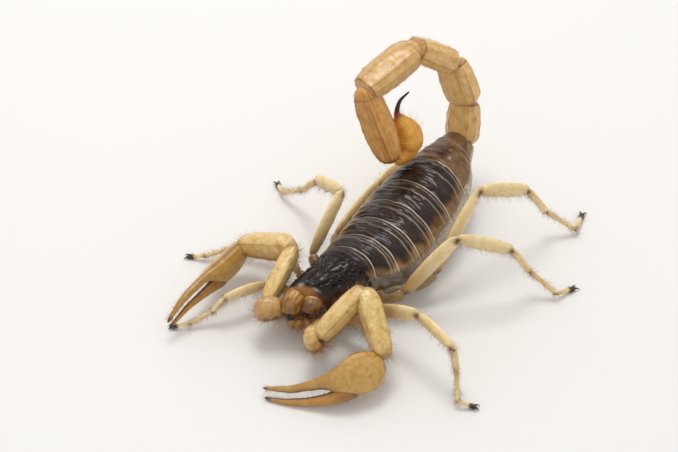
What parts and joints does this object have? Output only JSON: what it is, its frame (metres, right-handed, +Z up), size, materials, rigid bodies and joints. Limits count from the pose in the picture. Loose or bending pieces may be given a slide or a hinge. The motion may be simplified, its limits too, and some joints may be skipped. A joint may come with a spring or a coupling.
{
  "type": "scorpion model",
  "caption": "Still, life-size model of a giant desert hairy scorpion, claws low in front and tail arched over its back.",
  "frame": {"origin": "on the floor under the middle of the whole pose", "axes": "+Z up from the floor, -Y the way the head points, +X to the animal's left"},
  "size_m": [0.0637, 0.0737, 0.033],
  "materials": {
    "dark_shell": "glossy granular near-black cuticle",
    "brown_shell": "glossy brown cuticle",
    "soft_flank": "soft translucent grey-mauve skin",
    "eye": "wet black",
    "amber_shell": "semi-gloss translucent amber cuticle",
    "sting_point": "polished dark red-brown",
    "straw_shell": "semi-gloss translucent straw cuticle",
    "tan_shell": "semi-gloss granular tan cuticle"
  },
  "bodies": {
    "root": {"aculeus": "sting_point", "carapace": "dark_shell", "chelicera_left": "amber_shell", "chelicera_right": "amber_shell", "eye_left": "eye", "eye_right": "eye", "leg_1_left_femur": "straw_shell", "leg_1_left_foot": "straw_shell", "leg_1_left_patella": "straw_shell", "leg_1_right_femur": "straw_shell", "leg_1_right_foot": "straw_shell", "leg_1_right_patella": "straw_shell", "leg_2_left_femur": "straw_shell", "leg_2_left_foot": "straw_shell", "leg_2_left_patella": "straw_shell", "leg_2_right_femur": "straw_shell", "leg_2_right_foot": "straw_shell", "leg_2_right_patella": "straw_shell", "leg_3_left_femur": "straw_shell", "leg_3_left_foot": "straw_shell", "leg_3_left_patella": "straw_shell", "leg_3_right_femur": "straw_shell", "leg_3_right_foot": "straw_shell", "leg_3_right_patella": "straw_shell", "leg_4_left_femur": "straw_shell", "leg_4_left_foot": "straw_shell", "leg_4_left_patella": "straw_shell", "leg_4_right_femur": "straw_shell", "leg_4_right_foot": "straw_shell", "leg_4_right_patella": "straw_shell", "mesosoma_belly": "soft_flank", "metasoma_1": "tan_shell", "metasoma_2": "tan_shell", "metasoma_3": "tan_shell", "metasoma_4": "tan_shell", "metasoma_5": "tan_shell", "palp_left_coxa": "tan_shell", "palp_left_femur": "tan_shell", "palp_left_movable_finger": "amber_shell", "palp_left_palm": "tan_shell", "palp_left_patella": "tan_shell", "palp_left_trochanter": "tan_shell", "palp_right_coxa": "tan_shell", "palp_right_femur": "tan_shell", "palp_right_movable_finger": "amber_shell", "palp_right_palm": "tan_shell", "palp_right_patella": "tan_shell", "palp_right_trochanter": "tan_shell", "pectine_left": "straw_shell", "pectine_right": "straw_shell", "prosoma_underside": "tan_shell", "telson_vesicle": "amber_shell", "tergite_1": "dark_shell", "tergite_2": "dark_shell", "tergite_3": "dark_shell", "tergite_4": "dark_shell", "tergite_5": "dark_shell", "tergite_6": "dark_shell", "tergite_7": "brown_shell"}
  },
  "joints": []
}
